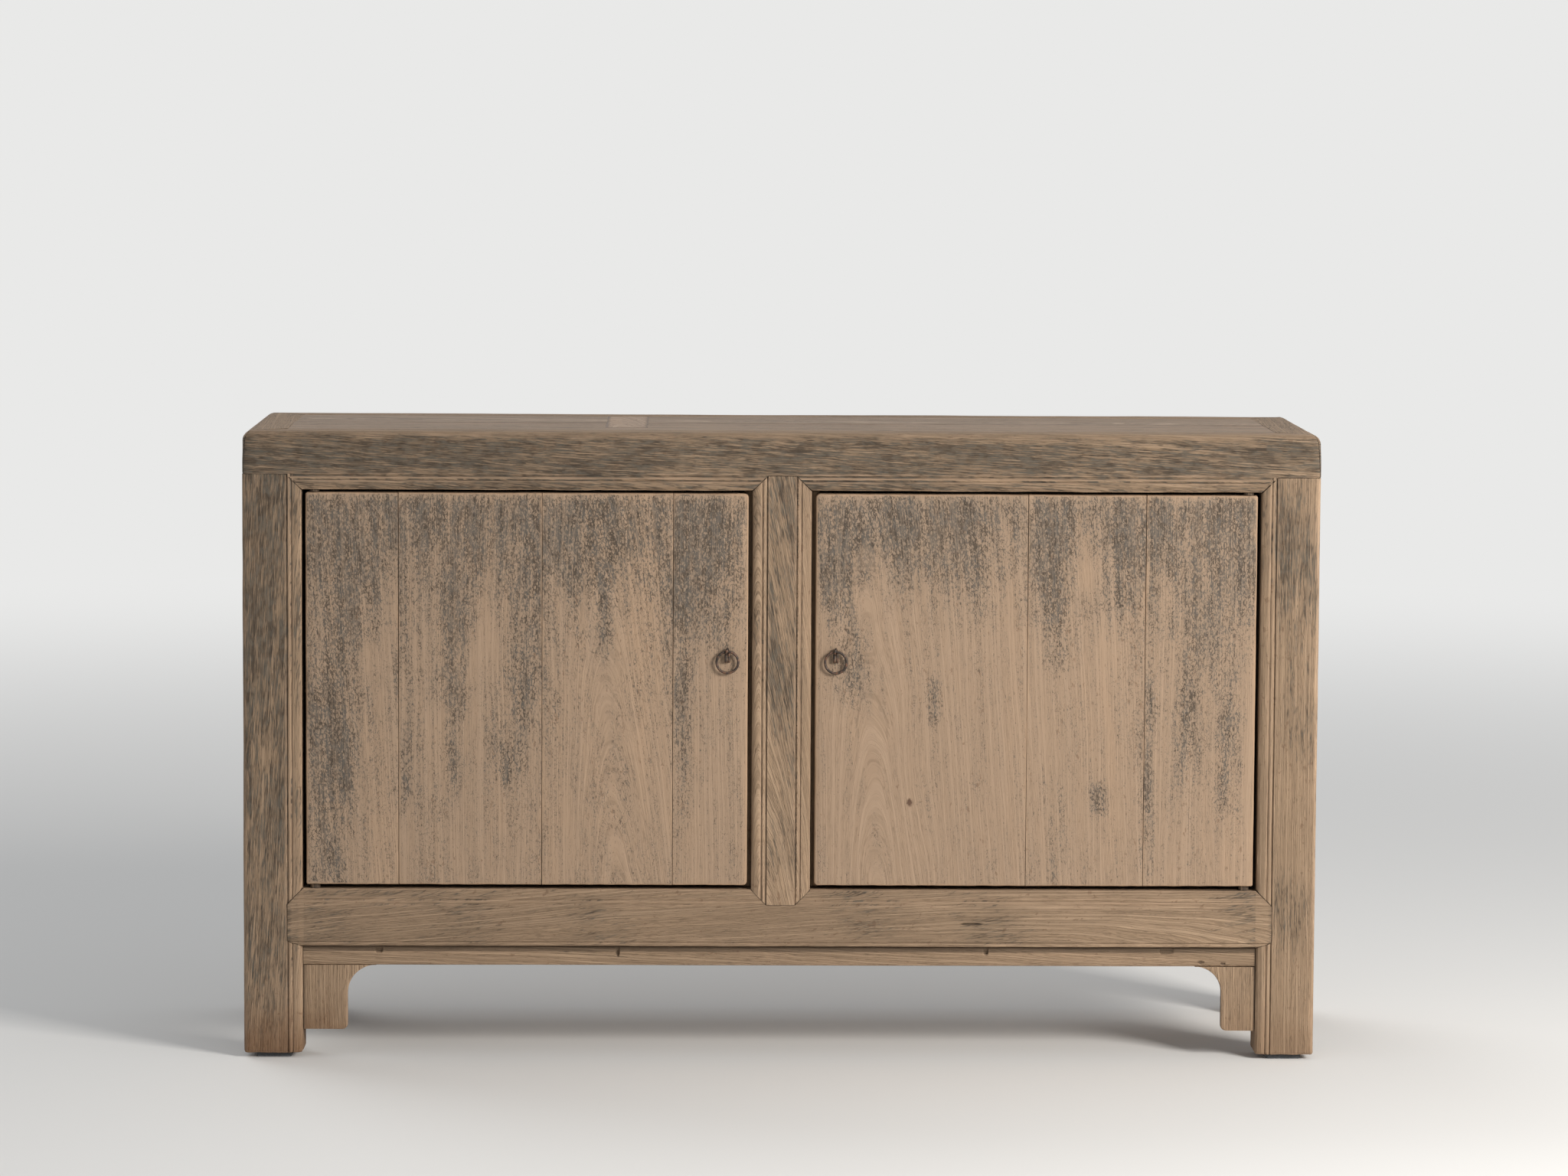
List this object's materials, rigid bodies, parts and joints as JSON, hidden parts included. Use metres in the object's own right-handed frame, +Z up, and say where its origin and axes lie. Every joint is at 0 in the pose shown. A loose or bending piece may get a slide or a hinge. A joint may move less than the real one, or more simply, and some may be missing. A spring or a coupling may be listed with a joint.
{
  "type": "kang cabinet",
  "caption": "Low reclaimed-elm cabinet on square legs: moulded mortised frame, plank doors on wood pivots with iron ring pulls, a shelf and a panelled top.",
  "frame": {"origin": "on the floor, under the middle of the whole cabinet with its ring pulls", "axes": "+X runs to the cabinet's right as seen from the front, along its width; the doors face -Y; +Z is up"},
  "size_m": [1.45, 0.4256, 0.85],
  "materials": {
    "elm_frame": "matt weathered elm, tan with grey-black residue in the grain, edges rubbed pale",
    "elm_door": "matt weathered elm boards, stained grey-black from the top and the hinge side",
    "elm_top": "smooth pale elm with a soft wax sheen",
    "elm_side": "matt weathered elm panels",
    "elm_inner": "plain sawn elm, unfinished",
    "iron": "dark wrought wire with a dull oxide skin",
    "felt": "dark grey pressed felt"
  },
  "bodies": {
    "case": {"apron_bracket_left": "elm_frame", "apron_bracket_right": "elm_frame", "apron_strip": "elm_frame", "back_left_inner_board": "elm_inner", "back_left_outer_board": "elm_inner", "back_right_inner_board": "elm_inner", "back_right_outer_board": "elm_inner", "bottom_front_rail": "elm_frame", "bottom_left_rail": "elm_frame", "bottom_rear_rail": "elm_inner", "bottom_right_rail": "elm_frame", "centre_mullion": "elm_frame", "door_stop": "elm_inner", "floor_bearer_left": "elm_inner", "floor_bearer_right": "elm_inner", "floor_front_board": "elm_inner", "floor_middle_board": "elm_inner", "floor_rear_board": "elm_inner", "foot_pads": "felt", "front_left_post": "elm_frame", "front_right_post": "elm_frame", "left_side_front_board": "elm_side", "left_side_rear_board": "elm_side", "rear_left_post": "elm_frame", "rear_muntin": "elm_inner", "rear_right_post": "elm_frame", "right_side_front_board": "elm_side", "right_side_rear_board": "elm_side", "shelf_centre_bearer": "elm_inner", "shelf_cleat_left": "elm_inner", "shelf_cleat_right": "elm_inner", "shelf_front_board": "elm_inner", "shelf_rear_board": "elm_inner", "top_batten_centre": "elm_inner", "top_batten_left": "elm_inner", "top_batten_right": "elm_inner", "top_front_board": "elm_top", "top_front_rail": "elm_frame", "top_left_end_rail": "elm_frame", "top_patch": "elm_top", "top_rear_board": "elm_top", "top_rear_rail": "elm_frame", "top_right_end_rail": "elm_frame"},
    "left_door": {"left_door_free_board": "elm_door", "left_door_hinge_board": "elm_door", "left_door_lower_batten": "elm_inner", "left_door_second_board": "elm_door", "left_door_third_board": "elm_door", "left_door_upper_batten": "elm_inner", "left_ring_staple": "iron"},
    "left_ring": {"left_ring": "iron"},
    "right_door": {"right_door_free_board": "elm_door", "right_door_hinge_board": "elm_door", "right_door_lower_batten": "elm_inner", "right_door_middle_board": "elm_door", "right_door_upper_batten": "elm_inner", "right_ring_staple": "iron"},
    "right_ring": {"right_ring": "iron"}
  },
  "joints": [
    {"name": "left_door_hinge", "type": "hinge", "parent": "case", "child": "left_door", "pos_m": [-0.6285, -0.19075, 0.501], "axis": [0, 0, -1], "range_deg": [0, 105]},
    {"name": "left_ring_swing", "type": "hinge", "parent": "left_door", "child": "left_ring", "pos_m": [-0.073, -0.2074, 0.555], "axis": [-1, 0, 0], "range_deg": [-6, 186]},
    {"name": "right_door_hinge", "type": "hinge", "parent": "case", "child": "right_door", "pos_m": [0.6285, -0.19075, 0.501], "axis": [0, 0, 1], "range_deg": [0, 105]},
    {"name": "right_ring_swing", "type": "hinge", "parent": "right_door", "child": "right_ring", "pos_m": [0.073, -0.2074, 0.555], "axis": [-1, 0, 0], "range_deg": [-6, 186]}
  ]
}
